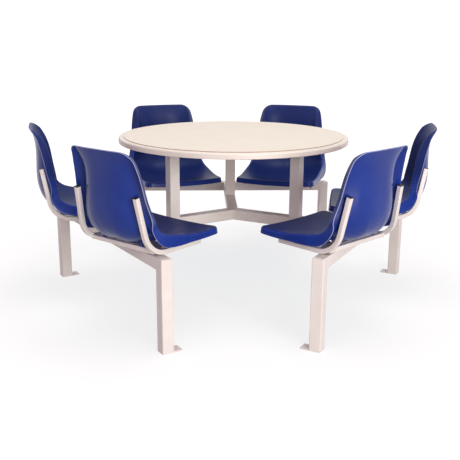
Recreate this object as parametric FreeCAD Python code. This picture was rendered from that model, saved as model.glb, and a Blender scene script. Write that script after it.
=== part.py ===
import FreeCAD, Part
import math
import os

# Round table with six bucket seats that swivel on three cross beams of one welded steel frame.
# The origin is on the floor under the middle of the table, and the rear arm points along +Y.
Vector = FreeCAD.Vector
up = Vector(0, 0, 1)
os.makedirs("parts", exist_ok=True)

# Table
table_radius = 550.0
table_height = 760.0
table_thickness = 30.0
edge_band_width = 24.0
edge_step = 3.0
edge_top_round = 8.0
edge_bottom_round = 3.0
table_plate_size = 120.0
table_plate_thickness = 5.0
table_screw_spacing = 90.0
table_screw_length = 23.0

# Welded frame of square tube
arm_count = 3
rear_arm_angle = 90.0
tube_size = 50.0
tube_wall = 3.0
tube_corner = 4.0
beam_top = 392.0
beam_distance = 675.0
post_distance = 560.0
upright_distance = 335.0
foot_length = 38.0
foot_thickness = 5.0
floor_bolt_radius = 5.5

# Swivel between each seat and its beam
pivot_distance = 327.0
rest_turn = 18.5
swivel_range = 90.0
spindle_radius = 15.0
running_clearance = 0.05
bush_wall = 6.0
bush_seat_depth = 26.0
bush_counterbore_wall = 3.0
thrust_washer_radius = 35.0
thrust_washer_thickness = 3.9
washer_bore_clearance = 0.4
face_clearance = 0.1
stop_pin_radius = 4.0
stop_pin_distance = 42.0
stop_clearance = 0.5
swivel_plate_thickness = 6.0
swivel_plate_back = 26.0
swivel_plate_front = 56.0
retainer_thickness = 3.0
retainer_play = 0.2
retainer_edge_clearance = 0.5

# Seat rails and rear bar
rail_size = 20.0
rail_wall = 2.0
rail_spacing_half = 189.0
rail_front = 208.0
rail_bend_radius = 99.0
rail_lean = 10.2
rail_toe_in = 5.1
rail_height = 242.0
bend_behind_pivot = 40.0
bar_behind_bend = 42.0
bar_lift = 7.0
bar_height = 18.0
plug_cap = 3.0
plug_depth = 12.0
tab_length = 30.0
tab_reach = 22.0
tab_thickness = 3.0
rear_tab_forward = 27.0
front_tab_forward = 186.0
bar_screw_place = 112.0

# Screws
screw_radius = 2.5
screw_hole_clearance = 0.5
screw_head_radius = 4.5
screw_head_height = 2.5
screw_bite = 13.0
retainer_screw_radius = 4.0
retainer_screw_head_radius = 6.5
retainer_screw_head_height = 5.0
retainer_screw_length = 22.0

# Moulded seat shell: middle line as (forward of the rails' bend, above the rails' lower face)
shell_middle = [
    (301.0, 48.0), (205.0, 36.0), (110.0, 30.0), (20.0, 29.0), (-30.0, 31.0), (-66.0, 41.0), (-100.0, 60.0),
    (-120.0, 82.0), (-136.0, 118.0), (-145.0, 165.0), (-145.0, 215.0), (-142.0, 262.0), (-141.0, 308.0),
    (-146.0, 364.0), (-158.5, 410.0),
]
shell_wall = 4.5
shell_side_room = 23.0
shell_rim_radius = 9.0
shell_flange_follow = 0.5
shell_front_corner = 24.0
shell_top_corner = 32.0
shell_centre_share = 0.47
boss_radius = 7.0
# Share of the middle line's length, with the narrowing, the dish, its steepness, and the flange's lean and depth
shell_narrowing = [
    (0.0, 4.0), (0.15, 2.0), (0.36, 3.0), (0.50, 9.0), (0.62, 20.0), (0.69, 33.0), (0.78, 50.0), (0.88, 61.0),
    (0.95, 62.0), (1.0, 60.0),
]
shell_dish = [
    (0.0, 8.0), (0.12, 16.0), (0.30, 38.0), (0.43, 57.0), (0.53, 72.0), (0.62, 80.0), (0.69, 80.0),
    (0.78, 68.0), (0.88, 51.0), (0.95, 33.0), (1.0, 12.0),
]
shell_dish_power = [(0.0, 2.3), (0.40, 2.3), (0.55, 2.3), (0.69, 2.7), (0.78, 3.0), (1.0, 3.0)]
shell_flange_lean = [
    (0.0, 3.0), (0.40, 3.0), (0.55, 3.0), (0.69, 8.0), (0.78, 11.0), (0.88, 18.0), (0.95, 28.0), (1.0, 45.0),
]
shell_flange = [
    (0.0, 19.0), (0.03, 20.0), (0.07, 19.0), (0.14, 20.0), (0.22, 24.0), (0.30, 34.0), (0.43, 44.0),
    (0.53, 33.0), (0.62, 25.0), (0.69, 29.0), (0.78, 37.0), (0.88, 38.0), (0.95, 28.0), (1.0, 8.0),
]
front_columns = 7
corner_columns = 8
side_columns = 26
top_columns = 6
dish_rows = 8
rim_rows = 5
flange_rows = 3
slope_step = 3.0

# Heights and places that follow from the sizes above
beam_bottom = beam_top - tube_size
table_underside = table_height - table_thickness
upright_top = table_underside - table_plate_thickness
seat_base = beam_top + thrust_washer_thickness + face_clearance
rail_centre = seat_base + rail_size / 2
rail_top_face = seat_base + rail_size
bar_low = seat_base + bar_lift
bar_top = bar_low + bar_height
bush_bore = spindle_radius + running_clearance
bush_radius = bush_bore + bush_wall
bush_counterbore = bush_radius - bush_counterbore_wall
bush_shoulder = beam_top - bush_seat_depth
spindle_end = bush_shoulder - retainer_play
tab_screw_place = rail_spacing_half - rail_size / 2 - tab_reach / 2
shell_half_width = rail_spacing_half + shell_side_room


def prism(points, reach):
    """Solid made by moving a flat outline along a vector."""
    return Part.Face(Part.makePolygon(points + points[:1])).extrude(reach)


def cylinder(radius, low, high, x=0.0, y=0.0):
    """Upright cylinder between two heights."""
    return Part.makeCylinder(radius, high - low, Vector(x, y, low))


def box(x0, x1, y0, y1, z0, z1):
    """Block between two corners."""
    return Part.makeBox(x1 - x0, y1 - y0, z1 - z0, Vector(x0, y0, z0))


def soften(solid, axis):
    """Round the long corners of a square tube that runs along an axis."""
    long_edges = []
    for edge in solid.Edges:
        run = edge.Vertexes[-1].Point - edge.Vertexes[0].Point
        if run.Length > tube_size and run.cross(axis).Length < tube_wall / tube_size:
            long_edges.append(edge)
    return solid.makeFillet(tube_corner, long_edges)


def turned(shape, angle):
    """Copy of a shape turned about the table's axis."""
    copy = shape.copy()
    copy.rotate(Vector(), up, angle)
    return copy


def save(shape, name):
    """Write one sub-part."""
    shape.exportStep("parts/" + name + ".step")


# Frame pieces are drawn on an arm along +X and turned to their own arm
arm_angles = [rear_arm_angle + 360.0 / arm_count * index for index in range(arm_count)]
sides = (1, -1)


def table_top():
    radius = table_radius - edge_band_width
    board = cylinder(radius, table_underside, table_height)
    for x, y in table_screw_places():
        board = board.cut(cylinder(screw_radius, table_underside, upright_top + table_screw_length, x, y))
    return board


def table_edge_band():
    inner = table_radius - edge_band_width
    high = table_height - edge_step
    diagonal = 1.0 - math.sqrt(0.5)
    low_turn = table_radius - edge_bottom_round * diagonal
    high_turn = table_radius - edge_top_round * diagonal
    corners = [
        Vector(inner, 0, table_underside),
        Vector(table_radius - edge_bottom_round, 0, table_underside),
        Vector(low_turn, 0, table_underside + edge_bottom_round * diagonal),
        Vector(table_radius, 0, table_underside + edge_bottom_round),
        Vector(table_radius, 0, high - edge_top_round),
        Vector(high_turn, 0, high - edge_top_round * diagonal),
        Vector(table_radius - edge_top_round, 0, high),
        Vector(inner, 0, high),
    ]
    outline = Part.Wire([
        Part.LineSegment(corners[0], corners[1]).toShape(),
        Part.Arc(corners[1], corners[2], corners[3]).toShape(),
        Part.LineSegment(corners[3], corners[4]).toShape(),
        Part.Arc(corners[4], corners[5], corners[6]).toShape(),
        Part.LineSegment(corners[6], corners[7]).toShape(),
        Part.LineSegment(corners[7], corners[0]).toShape(),
    ])
    return Part.Face(outline).revolve(Vector(), up, 360.0)


def plate_screw_places():
    half = table_screw_spacing / 2
    return [(upright_distance + a * half, b * half) for a in sides for b in sides]


def table_screw_places():
    places = []
    for angle in arm_angles:
        for x, y in plate_screw_places():
            point = FreeCAD.Rotation(up, angle).multVec(Vector(x, y, 0))
            places.append((point.x, point.y))
    return places


def table_plate():
    half = table_plate_size / 2
    plate = box(upright_distance - half, upright_distance + half, -half, half, upright_top, table_underside)
    for x, y in plate_screw_places():
        plate = plate.cut(cylinder(screw_radius + screw_hole_clearance, upright_top, table_underside, x, y))
    return plate


def screw(x, y, seat, length):
    """Screw that goes up from a seat height, with its head below."""
    head = cylinder(screw_head_radius, seat - screw_head_height, seat, x, y)
    return head.fuse(cylinder(screw_radius, seat, seat + length, x, y)).removeSplitter()


def upright():
    half = tube_size / 2
    inside = half - tube_wall
    x0 = upright_distance - half
    x1 = upright_distance + half
    bar = soften(box(x0, x1, -half, half, beam_top, upright_top), up)
    hollow = box(x0 + tube_wall, x1 - tube_wall, -inside, inside, beam_top, upright_top)
    return bar.cut(hollow)


def arm_outline(half, height):
    reach = beam_distance - tube_size / 2
    mitre = half / math.tan(math.radians(180.0 / arm_count))
    points = [(0, 0), (mitre, -half), (reach, -half), (reach, half), (mitre, half)]
    return [Vector(x, y, height) for x, y in points]


def frame_arm():
    half = tube_size / 2
    bar = soften(prism(arm_outline(half, beam_bottom), Vector(0, 0, tube_size)), Vector(1, 0, 0))
    low = beam_bottom + tube_wall
    return bar.cut(prism(arm_outline(half - tube_wall, low), Vector(0, 0, tube_size - 2 * tube_wall)))


def mitred(points, inset):
    """Square tube drawn from the side in the beam's plane, less tube_wall on its two flanks."""
    x = beam_distance - tube_size / 2 + inset
    return prism([Vector(x, y, z) for y, z in points], Vector(tube_size - 2 * inset, 0, 0))


def beam_outline(inset):
    end = post_distance + tube_size / 2 - inset
    low = post_distance - tube_size / 2 + inset
    floor = beam_bottom + inset
    ceiling = beam_top - inset
    return [(-low, floor), (low, floor), (end, ceiling), (-end, ceiling)]


def seat_beam():
    bar = soften(mitred(beam_outline(0.0), 0.0), Vector(0, 1, 0))
    bar = bar.cut(mitred(beam_outline(tube_wall), tube_wall))
    for side in sides:
        along = side * pivot_distance
        bar = bar.cut(cylinder(bush_radius, beam_bottom, beam_top, beam_distance, along))
        pin = side * (pivot_distance + stop_pin_distance)
        bar = bar.cut(cylinder(stop_pin_radius, beam_top - tube_wall, beam_top, beam_distance, pin))
    return bar


def post(side):
    def outline(inset):
        outer = post_distance + tube_size / 2 - inset
        inner = post_distance - tube_size / 2 + inset
        corners = [(inner, 0.0), (outer, 0.0), (outer, beam_top - inset), (inner, beam_bottom + inset)]
        return [(side * y, z) for y, z in corners]
    return soften(mitred(outline(0.0), 0.0), up).cut(mitred(outline(tube_wall), tube_wall))


def foot_plate(side):
    half = tube_size / 2
    inner_face = beam_distance - half
    along = side * post_distance
    plate = box(inner_face - foot_length, inner_face, along - half, along + half, 0.0, foot_thickness)
    return plate.cut(cylinder(floor_bolt_radius, 0.0, foot_thickness, inner_face - foot_length / 2, along))


def swivel_bush(side):
    along = side * pivot_distance
    bush = cylinder(bush_radius, beam_bottom, beam_top, beam_distance, along)
    bush = bush.cut(cylinder(bush_bore, bush_shoulder, beam_top, beam_distance, along))
    return bush.cut(cylinder(bush_counterbore, beam_bottom, bush_shoulder, beam_distance, along))


def thrust_washer(side):
    along = side * pivot_distance
    high = beam_top + thrust_washer_thickness
    washer = cylinder(thrust_washer_radius, beam_top, high, beam_distance, along)
    return washer.cut(cylinder(spindle_radius + washer_bore_clearance, beam_top, high, beam_distance, along))


def stop_pin(side):
    along = side * (pivot_distance + stop_pin_distance)
    high = seat_base + swivel_plate_thickness
    return cylinder(stop_pin_radius, beam_top - tube_wall, high, beam_distance, along)


# Seat pieces are drawn with +X to the sitter's right, +Y forward and the rails' bends from X, then placed
def rail_outline(half, front):
    """Side view of a bent rail, half a thickness each side of its middle line."""
    lean = math.radians(rail_lean)
    centre = Vector(0, 0, rail_centre + rail_bend_radius)
    spoke = Vector(0, -math.cos(lean), -math.sin(lean))
    rise = Vector(0, -math.sin(lean), math.cos(lean))
    half_turn = math.radians((90.0 + rail_lean) / 2)
    middle = Vector(0, -math.cos(half_turn), -math.sin(half_turn))
    length = (seat_base + rail_height - centre.z - spoke.z * rail_bend_radius) / rise.z
    outer = rail_bend_radius + half
    inner = rail_bend_radius - half
    low_end = centre + spoke * outer
    high_end = centre + spoke * inner
    low_front = Vector(0, front, rail_centre - half)
    high_front = Vector(0, front, rail_centre + half)
    low_start = Vector(0, 0, rail_centre - half)
    high_start = Vector(0, 0, rail_centre + half)
    return Part.Wire([
        Part.LineSegment(low_front, low_start).toShape(),
        Part.Arc(low_start, centre + middle * outer, low_end).toShape(),
        Part.LineSegment(low_end, low_end + rise * length).toShape(),
        Part.LineSegment(low_end + rise * length, high_end + rise * length).toShape(),
        Part.LineSegment(high_end + rise * length, high_end).toShape(),
        Part.Arc(high_end, centre + middle * inner, high_start).toShape(),
        Part.LineSegment(high_start, high_front).toShape(),
        Part.LineSegment(high_front, low_front).toShape(),
    ])


def place_rail(shape, side):
    """Tip a rail's plane inwards about its lower run and move it to its side of the seat."""
    shape.rotate(Vector(0, 0, rail_centre), Vector(0, 1, 0), -side * rail_toe_in)
    shape.translate(Vector(side * rail_spacing_half, 0, 0))
    return shape


def rail_core(side, inset):
    """Outside of a rail, or its hollow, which stops short of the closed front end by the wall."""
    half = rail_size / 2 - inset
    core = Part.Face(rail_outline(half, rail_front - inset)).extrude(Vector(2 * half, 0, 0))
    core.translate(Vector(-half, 0, 0))
    return place_rail(core, side)


def tab(side, forward):
    """Drilled steel ear welded to the inner side of a rail."""
    weld = side * (rail_spacing_half - rail_size / 2 + rail_wall / 2)
    free = side * (rail_spacing_half - rail_size / 2 - tab_reach)
    low = rail_top_face - tab_thickness
    half = tab_length / 2
    ear = box(min(weld, free), max(weld, free), forward - half, forward + half, low, rail_top_face)
    hole = cylinder(screw_radius + screw_hole_clearance, low, rail_top_face, side * tab_screw_place, forward)
    return ear.cut(hole)


def seat_rails():
    rails = []
    for side in sides:
        rail = rail_core(side, 0.0)
        for forward in (rear_tab_forward, front_tab_forward):
            rail = rail.fuse(tab(side, forward))
        rails.append(rail.cut(rail_core(side, rail_wall)))
    return Part.makeCompound([solid for rail in rails for solid in rail.Solids])


def between_rails(shape):
    """Trim a cross piece to the planes of the rails' inner faces."""
    for side in sides:
        inner = -side * rail_size / 2
        outer = side * rail_spacing_half
        low = seat_base - rail_size
        high = bar_top + rail_size
        beyond = box(min(inner, outer), max(inner, outer), -rail_front, rail_front, low, high)
        shape = shape.cut(place_rail(beyond, side))
    return shape


def rear_bar():
    """Hollow bar between the rails, just behind the start of their bends."""
    reach = rail_spacing_half - rail_size / 2 + rail_wall / 2
    back = -bar_behind_bend - rail_size / 2
    front = -bar_behind_bend + rail_size / 2
    bar = box(-reach, reach, back, front, bar_low, bar_top)
    hollow_back = back + rail_wall
    hollow_front = front - rail_wall
    bar = bar.cut(box(-reach, reach, hollow_back, hollow_front, bar_low + rail_wall, bar_top - rail_wall))
    hole_radius = screw_radius + screw_hole_clearance
    for side in sides:
        bar = bar.cut(cylinder(hole_radius, bar_low, bar_top, side * bar_screw_place, -bar_behind_bend))
    return between_rails(bar)


def stop_slot(low, high):
    """Curved slot that the stop pin runs in as the seat turns outwards."""
    half = stop_pin_radius + stop_clearance
    outer = Part.makeCylinder(stop_pin_distance + half, high - low, Vector(0, 0, low), up, swivel_range)
    slot = outer.cut(cylinder(stop_pin_distance - half, low, high))
    for angle in (0.0, swivel_range):
        end = cylinder(half, low, high, stop_pin_distance, 0.0)
        end.rotate(Vector(), up, angle)
        slot = slot.fuse(end)
    slot.rotate(Vector(), up, -rest_turn)
    slot.translate(Vector(0, bend_behind_pivot, 0))
    return slot


def swivel_plate(side):
    high = seat_base + swivel_plate_thickness
    back = bend_behind_pivot - swivel_plate_back
    front = bend_behind_pivot + swivel_plate_front
    plate = box(-rail_spacing_half, rail_spacing_half, back, front, seat_base, high)
    plate = between_rails(plate).cut(stop_slot(seat_base, high))
    plate = plate.fuse(cylinder(spindle_radius, spindle_end, high, 0.0, bend_behind_pivot)).removeSplitter()
    thread_top = spindle_end - retainer_thickness + retainer_screw_length
    plate = plate.cut(cylinder(retainer_screw_radius, spindle_end, thread_top, 0.0, bend_behind_pivot))
    if side < 0:
        plate = plate.mirror(Vector(), Vector(1, 0, 0))
    return plate


def rail_plugs():
    """Square caps with a shank that fills the open top of each rail."""
    lean = math.radians(rail_lean)
    rise = Vector(0, -math.sin(lean), math.cos(lean))
    across = Vector(0, math.cos(lean), math.sin(lean))
    bend_end = Vector(0, 0, rail_centre + rail_bend_radius) - across * rail_bend_radius
    top = bend_end + rise * ((seat_base + rail_height - bend_end.z) / rise.z)

    def block(half, start, finish):
        corner = top + rise * start - across * half - Vector(half, 0, 0)
        far_corner = corner + across * 2 * half
        lift = rise * (finish - start)
        return prism([corner, far_corner, far_corner + lift, corner + lift], Vector(2 * half, 0, 0))
    plugs = []
    for side in sides:
        shank = block(rail_size / 2 - rail_wall, -plug_depth, 0.0)
        plug = block(rail_size / 2, 0.0, plug_cap).fuse(shank).removeSplitter()
        plugs.append(place_rail(plug, side))
    return Part.makeCompound(plugs)


def shell_screw_places():
    """Places of the shell's screws as (x, y, face under the head, face under the shell's boss)."""
    places = []
    for side in sides:
        places.append((side * bar_screw_place, -bar_behind_bend, bar_low, bar_top))
        for forward in (rear_tab_forward, front_tab_forward):
            places.append((side * tab_screw_place, forward, rail_top_face - tab_thickness, rail_top_face))
    return places


def seat_fixings():
    pieces = [screw(x, y, seat, rest - seat + screw_bite) for x, y, seat, rest in shell_screw_places()]
    washer_low = spindle_end - retainer_thickness
    washer_radius = bush_counterbore - retainer_edge_clearance
    washer = cylinder(washer_radius, washer_low, spindle_end, 0.0, bend_behind_pivot)
    washer = washer.cut(cylinder(retainer_screw_radius, washer_low, spindle_end, 0.0, bend_behind_pivot))
    head_low = washer_low - retainer_screw_head_height
    head = cylinder(retainer_screw_head_radius, head_low, washer_low, 0.0, bend_behind_pivot)
    shank_top = washer_low + retainer_screw_length
    shank = cylinder(retainer_screw_radius, washer_low, shank_top, 0.0, bend_behind_pivot)
    return Part.makeCompound(pieces + [washer, head.fuse(shank).removeSplitter()])


def along(keys, share):
    """Smooth value at a share of the length, through hand-set keys."""
    share = min(max(share, keys[0][0]), keys[-1][0])
    last = len(keys) - 1
    index = 0
    while index < last - 1 and share > keys[index + 1][0]:
        index += 1

    def slope(place):
        before = keys[max(place - 1, 0)]
        after = keys[min(place + 1, last)]
        return (after[1] - before[1]) / (after[0] - before[0])
    start, finish = keys[index], keys[index + 1]
    gap = finish[0] - start[0]
    t = (share - start[0]) / gap
    rise = finish[1] - start[1]
    pull_start = slope(index) * gap - rise
    pull_finish = rise - slope(index + 1) * gap
    return start[1] + t * rise + t * (1 - t) * ((1 - t) * pull_start + t * pull_finish)


class ShellForm:
    """Sitting face of the shell, over the width and the length of its unrolled middle line."""

    def __init__(self):
        self.line = Part.BSplineCurve()
        self.line.interpolate([Vector(0, y, seat_base + z) for y, z in shell_middle])
        self.length = self.line.length()

    def half_width(self, place):
        return shell_half_width - along(shell_narrowing, place / self.length)

    def parameter(self, place):
        return self.line.parameterAtDistance(min(max(place, 0.0), self.length), self.line.FirstParameter)

    def middle_facing(self, place):
        run = self.line.tangent(self.parameter(place))[0]
        return Vector(0, run.z, -run.y)

    def point(self, x, place):
        share = abs(x) / self.half_width(place)
        power = along(shell_dish_power, place / self.length)
        depth = along(shell_dish, place / self.length) * share ** power
        middle = self.line.value(self.parameter(place))
        return middle + Vector(x, 0, 0) + self.middle_facing(place) * depth

    def normal(self, x, place):
        """Direction from the face towards the sitter."""
        low = max(place - slope_step, 0.0)
        high = min(place + slope_step, self.length)
        lengthwise = self.point(x, high) - self.point(x, low)
        crosswise = self.point(x + slope_step, place) - self.point(x - slope_step, place)
        return lengthwise.cross(crosswise).normalize()

    def rim(self):
        """Rim as (x, place, outward x, outward place), anticlockwise from the middle of the front."""
        points = []
        front = self.half_width(0.0) - shell_front_corner
        for step in range(front_columns):
            points.append((front * step / front_columns, 0.0))
        for step in range(corner_columns):
            angle = math.radians(90.0 * step / corner_columns)
            place = shell_front_corner * (1 - math.cos(angle))
            points.append((self.half_width(place) - shell_front_corner * (1 - math.sin(angle)), place))
        side_start = shell_front_corner
        side_end = self.length - shell_top_corner
        for step in range(side_columns):
            place = side_start + (side_end - side_start) * step / side_columns
            points.append((self.half_width(place), place))
        for step in range(corner_columns):
            angle = math.radians(90.0 * step / corner_columns)
            place = side_end + shell_top_corner * math.sin(angle)
            points.append((self.half_width(place) - shell_top_corner * (1 - math.cos(angle)), place))
        top = self.half_width(self.length) - shell_top_corner
        for step in range(top_columns):
            points.append((top * (1 - step / top_columns), self.length))
        points = points + [(0.0, self.length)] + [(-x, place) for x, place in reversed(points[1:])]
        rim = []
        for index, (x, place) in enumerate(points):
            before = points[index - 1]
            after = points[(index + 1) % len(points)]
            size = math.hypot(after[0] - before[0], after[1] - before[1])
            rim.append((x, place, (after[1] - before[1]) / size, (before[0] - after[0]) / size))
        return rim

    def column(self, x, place, out_x, out_place):
        """Face points and their outward normals from the middle of the shell to its free edge."""
        middle = shell_centre_share * self.length
        points = []
        for row in range(dish_rows):
            share = row / dish_rows
            spot = (x * share, middle + (place - middle) * share)
            points.append((self.point(*spot), self.normal(*spot)))
        edge = self.point(x, place)
        facing = self.normal(x, place)
        outward = edge - self.point(x - slope_step * out_x, place - slope_step * out_place)
        outward = (outward - facing * outward.dot(facing)).normalize()
        points.append((edge, facing))
        slope = math.asin(outward.dot(self.middle_facing(place)))
        lean = along(shell_flange_lean, place / self.length)
        turn = math.radians(90.0 - lean) + shell_flange_follow * slope
        for row in range(1, rim_rows + 1):
            angle = turn * row / rim_rows
            normal = facing * math.cos(angle) + outward * math.sin(angle)
            shift = outward * math.sin(angle) - facing * (1 - math.cos(angle))
            points.append((edge + shift * shell_rim_radius, normal))
        fall = outward * math.cos(turn) - facing * math.sin(turn)
        start, normal = points[-1]
        depth = along(shell_flange, place / self.length)
        for row in range(1, flange_rows + 1):
            points.append((start + fall * (depth * row / flange_rows), normal))
        return points


def skin(columns, depth):
    """Smooth closed-round face over a net of points, set back from them by a depth."""
    rows = len(columns[0])
    poles = [[columns[c][r][0] - columns[c][r][1] * depth for c in range(len(columns))] for r in range(rows)]
    degree = 3
    row_knots = rows - degree + 1
    row_mults = [degree + 1] + [1] * (row_knots - 2) + [degree + 1]
    column_knots = len(columns) + 1
    face = Part.BSplineSurface()
    face.buildFromPolesMultsKnots(
        poles, row_mults, [1] * column_knots,
        [float(k) for k in range(row_knots)], [float(k) for k in range(column_knots)],
        False, True, degree, degree,
    )
    return face


def seat_shell():
    form = ShellForm()
    columns = [form.column(*spot) for spot in form.rim()]
    front_skin = skin(columns, 0.0)
    back_skin = skin(columns, shell_wall)
    last = front_skin.bounds()[1]
    edge = Part.makeRuledSurface(front_skin.uIso(last).toShape(), back_skin.uIso(last).toShape())
    closed = Part.makeShell([front_skin.toShape(), back_skin.toShape(), edge])
    closed.sewShape()
    shell = Part.makeSolid(closed)
    if shell.Volume < 0:
        shell.reverse()
    for x, y, seat, rest in shell_screw_places():
        pillar = cylinder(boss_radius, rest, rest + shell_half_width, x, y)
        boss = min(pillar.cut(shell).Solids, key=lambda solid: solid.BoundBox.ZMin)
        shell = shell.fuse(boss)
    for x, y, seat, rest in shell_screw_places():
        shell = shell.cut(cylinder(screw_radius, rest, rest + screw_bite, x, y))
    return shell


# Build the table and the frame
save(table_top(), "table_top")
save(table_edge_band(), "table_edge_band")
save(Part.makeCompound([turned(table_plate(), angle) for angle in arm_angles]), "table_plates")
table_screws = [screw(x, y, upright_top, table_screw_length) for x, y in table_screw_places()]
save(Part.makeCompound(table_screws), "table_screws")
arm_names = ("rear", "left", "right")
for arm_name, angle in zip(arm_names, arm_angles):
    save(turned(upright(), angle), arm_name + "_upright")
    save(turned(frame_arm(), angle), arm_name + "_arm")
    save(turned(seat_beam(), angle), arm_name + "_beam")
    for side, side_name in zip(sides, ("a", "b")):
        save(turned(post(side), angle), arm_name + "_post_" + side_name)
ends = [(angle, side) for angle in arm_angles for side in sides]
save(Part.makeCompound([turned(foot_plate(side), angle) for angle, side in ends]), "foot_plates")
save(Part.makeCompound([turned(swivel_bush(side), angle) for angle, side in ends]), "swivel_bushes")
save(Part.makeCompound([turned(thrust_washer(side), angle) for angle, side in ends]), "thrust_washers")
save(Part.makeCompound([turned(stop_pin(side), angle) for angle, side in ends]), "stop_pins")


def seat_placement(angle, side):
    """Place of a seat turned towards the table, with its pivot on its beam."""
    pivot = FreeCAD.Rotation(up, angle).multVec(Vector(beam_distance, side * pivot_distance, 0))
    turn = FreeCAD.Rotation(up, angle + 90.0 + side * rest_turn)
    return FreeCAD.Placement(pivot - turn.multVec(Vector(0, bend_behind_pivot, 0)), turn)


# Build one seat and place a copy at each end of each beam
shell = seat_shell()
print("seat shell volume", round(shell.Volume), "valid", shell.isValid(), "solids", len(shell.Solids))
shared_pieces = {
    "shell": shell,
    "rails": seat_rails(),
    "rear_bar": rear_bar(),
    "rail_plugs": rail_plugs(),
    "fixings": seat_fixings(),
}
plates = {side: swivel_plate(side) for side in sides}
for number, (angle, side) in enumerate(ends, start=1):
    pieces = dict(shared_pieces, swivel_plate=plates[side])
    for piece_name, shape in pieces.items():
        copy = shape.copy()
        copy.Placement = seat_placement(angle, side).multiply(copy.Placement)
        save(copy, "seat_" + str(number) + "_" + piece_name)
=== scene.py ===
import bpy
import bmesh
import math
import numpy as np
from mathutils import Matrix, Vector


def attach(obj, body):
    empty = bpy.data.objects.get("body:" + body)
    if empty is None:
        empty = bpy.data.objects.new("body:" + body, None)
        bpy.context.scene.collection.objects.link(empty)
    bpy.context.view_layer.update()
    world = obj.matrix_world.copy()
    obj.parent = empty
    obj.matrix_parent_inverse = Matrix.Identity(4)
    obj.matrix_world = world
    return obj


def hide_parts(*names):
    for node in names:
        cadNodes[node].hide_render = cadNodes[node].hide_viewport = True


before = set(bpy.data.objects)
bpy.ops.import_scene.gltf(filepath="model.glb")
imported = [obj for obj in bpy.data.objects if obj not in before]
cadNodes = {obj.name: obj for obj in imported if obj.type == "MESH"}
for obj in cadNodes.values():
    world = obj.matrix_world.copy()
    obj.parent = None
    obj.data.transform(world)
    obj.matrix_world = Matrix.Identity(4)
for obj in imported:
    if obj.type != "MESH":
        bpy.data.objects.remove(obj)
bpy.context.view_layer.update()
print("frame:", len(cadNodes), "nodes")

mm = 0.001
sides = (1, -1)


# colours are written as they look on screen, 0 to 255
def paint(red, green, blue):
    def linear(value):
        value = value / 255
        return value / 12.92 if value <= 0.04045 else ((value + 0.055) / 1.055) ** 2.4
    return (linear(red), linear(green), linear(blue), 1.0)


def startMaterial(name):
    mat = bpy.data.materials.new(name)
    mat.use_nodes = True
    tree = mat.node_tree
    coords = tree.nodes.new("ShaderNodeTexCoord")
    return mat, tree, tree.nodes["Principled BSDF"], coords.outputs["Object"]


def addNoise(tree, where, scale, detail=2.0, roughness=0.5):
    node = tree.nodes.new("ShaderNodeTexNoise")
    node.inputs["Scale"].default_value = scale
    node.inputs["Detail"].default_value = detail
    node.inputs["Roughness"].default_value = roughness
    tree.links.new(where, node.inputs["Vector"])
    return node.outputs["Fac"]


def addCells(tree, where, scale):
    node = tree.nodes.new("ShaderNodeTexVoronoi")
    node.feature = "SMOOTH_F1"
    node.inputs["Scale"].default_value = scale
    tree.links.new(where, node.inputs["Vector"])
    return node.outputs["Distance"]


def addRamp(tree, value, stops):
    node = tree.nodes.new("ShaderNodeValToRGB")
    ramp = node.color_ramp
    while len(ramp.elements) < len(stops):
        ramp.elements.new(0.5)
    for element, (place, colour) in zip(ramp.elements, stops):
        element.position = place
        element.color = colour
    tree.links.new(value, node.inputs["Fac"])
    return node.outputs["Color"]


def addRange(tree, value, low, high, fromLow=0.3, fromHigh=0.7):
    node = tree.nodes.new("ShaderNodeMapRange")
    node.inputs["From Min"].default_value = fromLow
    node.inputs["From Max"].default_value = fromHigh
    node.inputs["To Min"].default_value = low
    node.inputs["To Max"].default_value = high
    tree.links.new(value, node.inputs["Value"])
    return node.outputs["Result"]


def addMath(tree, operation, first, second):
    node = tree.nodes.new("ShaderNodeMath")
    node.operation = operation
    for socket, value in zip(node.inputs, (first, second)):
        if isinstance(value, (int, float)):
            socket.default_value = value
        else:
            tree.links.new(value, socket)
    return node.outputs["Value"]


def addMix(tree, share, first, second):
    node = tree.nodes.new("ShaderNodeMix")
    node.data_type = "RGBA"
    tree.links.new(share, node.inputs["Factor"])
    # the two colour sockets come after the plain and the vector ones
    for socket, value in zip(node.inputs[6:8], (first, second)):
        if isinstance(value, tuple):
            socket.default_value = value
        else:
            tree.links.new(value, socket)
    return node.outputs[2]


def addAttribute(tree, name):
    node = tree.nodes.new("ShaderNodeAttribute")
    node.attribute_name = name
    return node.outputs["Fac"]


def addBump(tree, shader, height, strength, distance, before=None):
    node = tree.nodes.new("ShaderNodeBump")
    node.inputs["Strength"].default_value = strength
    node.inputs["Distance"].default_value = distance
    tree.links.new(height, node.inputs["Height"])
    if before is not None:
        tree.links.new(before, node.inputs["Normal"])
    tree.links.new(node.outputs["Normal"], shader.inputs["Normal"])
    return node.outputs["Normal"]


def stretched(tree, where, scale):
    node = tree.nodes.new("ShaderNodeMapping")
    node.inputs["Scale"].default_value = scale
    tree.links.new(where, node.inputs["Vector"])
    return node.outputs["Vector"]


# in each finish a noise is its scale and detail, and a bump its strength and depth in metres
evenSpread = (0.3, 0.7)


def addTones(tree, value, form, deep="deep", light="light"):
    low, high = form.get("spread", evenSpread)
    return addRamp(tree, value, [(low, form[deep]), (high, form[light])])


def setColour(tree, shader, colour):
    tree.links.new(colour, shader.inputs["Base Color"])


def setRoughness(tree, shader, value, form):
    tree.links.new(addRange(tree, value, *form["roughness"]), shader.inputs["Roughness"])


# cream powder coat on the steel: fine orange peel, slight drift in tone
powder = dict(light=paint(242, 237, 230), deep=paint(235, 228, 220), spread=(0.35, 0.65), drift=(7.0, 3.0),
              gloss=(85.0, 2.0), roughness=(0.30, 0.42), peel=(620.0, 1.0), peelBump=(0.35, 0.00012))


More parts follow.
